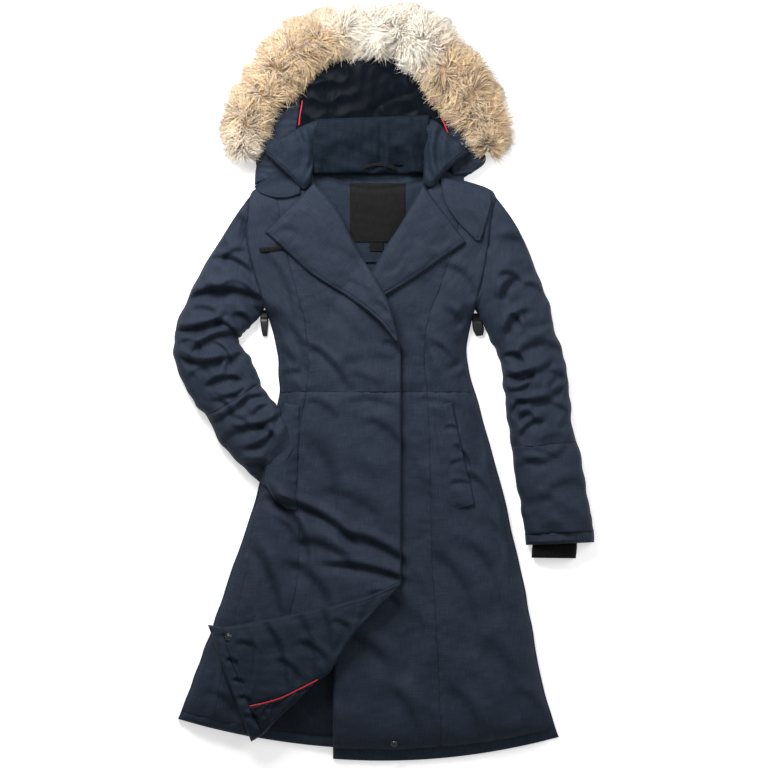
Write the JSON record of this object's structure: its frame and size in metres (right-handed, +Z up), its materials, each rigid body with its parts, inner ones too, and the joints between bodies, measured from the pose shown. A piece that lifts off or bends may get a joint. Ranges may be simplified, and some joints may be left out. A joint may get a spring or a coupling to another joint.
{
  "type": "hooded padded wrap coat",
  "caption": "Long padded wrap coat with a fur-edged hood, wide lapels and a turned-back hem corner, laid flat on its back.",
  "frame": {"origin": "middle of the coat's footprint, on the ground it lies on", "axes": "+X across the coat towards the wearer's left sleeve, +Y from hem to hood, +Z up from the ground through the back to the fronts"},
  "size_m": [0.759, 1.3652, 0.077],
  "materials": {
    "shell_cloth": "navy melange woven polyester shell, matt, lightly padded",
    "satin_lining": "navy satin lining, soft sheen, puckered",
    "fur_trim": "long soft fur, tan at the sides and cream at the crown",
    "red_piping": "red satin piping",
    "rib_knit": "black rib knit",
    "black_trim": "black woven tape and coated zip",
    "label_satin": "plain black woven label satin",
    "black_plastic": "matt black moulded cord lock with black cord",
    "gunmetal_snap": "gunmetal snap cap"
  },
  "bodies": {
    "root": {"back_bodice": "shell_cloth", "back_skirt": "shell_cloth", "back_hem": "shell_cloth", "neck_lining": "shell_cloth", "skirt_lining": "satin_lining", "left_front_bodice": "shell_cloth", "left_side_bodice": "shell_cloth", "left_front_skirt": "shell_cloth", "left_side_skirt": "shell_cloth", "left_hem": "shell_cloth", "right_front_bodice": "shell_cloth", "right_side_bodice": "shell_cloth", "right_front_skirt": "shell_cloth", "right_side_skirt": "shell_cloth", "right_back_skirt": "shell_cloth", "right_hem": "shell_cloth", "flap_facing": "shell_cloth", "flap_lining": "satin_lining", "flap_hem": "shell_cloth", "flap_piping": "red_piping", "left_lapel": "shell_cloth", "right_lapel": "shell_cloth", "right_under_sleeve": "shell_cloth", "right_upper_sleeve": "shell_cloth", "right_forearm": "shell_cloth", "left_under_sleeve": "shell_cloth", "left_upper_sleeve": "shell_cloth", "left_forearm": "shell_cloth", "left_cuff": "shell_cloth", "left_rib_cuff": "rib_knit", "right_pocket": "shell_cloth", "left_pocket_welt": "shell_cloth", "hood_shell": "shell_cloth", "hood_lining": "satin_lining", "hood_band_right": "shell_cloth", "hood_band_left": "shell_cloth", "hood_piping_right": "red_piping", "hood_piping_left": "red_piping", "fur_ruff_right": "fur_trim", "fur_ruff_top": "fur_trim", "fur_ruff_left": "fur_trim", "collar_stand": "shell_cloth", "collar_leaf_right": "shell_cloth", "collar_leaf_left": "shell_cloth", "collar_tab": "shell_cloth", "storm_flap": "shell_cloth", "hanger_loop": "black_trim", "neck_label": "label_satin", "size_tag": "label_satin", "chest_zip": "black_trim", "chest_zip_pull": "black_trim", "right_cord_lock": "black_plastic", "left_cord_lock": "black_plastic", "flap_snap": "gunmetal_snap", "hem_snap": "gunmetal_snap", "hood_snap_upper": "gunmetal_snap", "hood_snap_lower": "gunmetal_snap"}
  },
  "joints": []
}
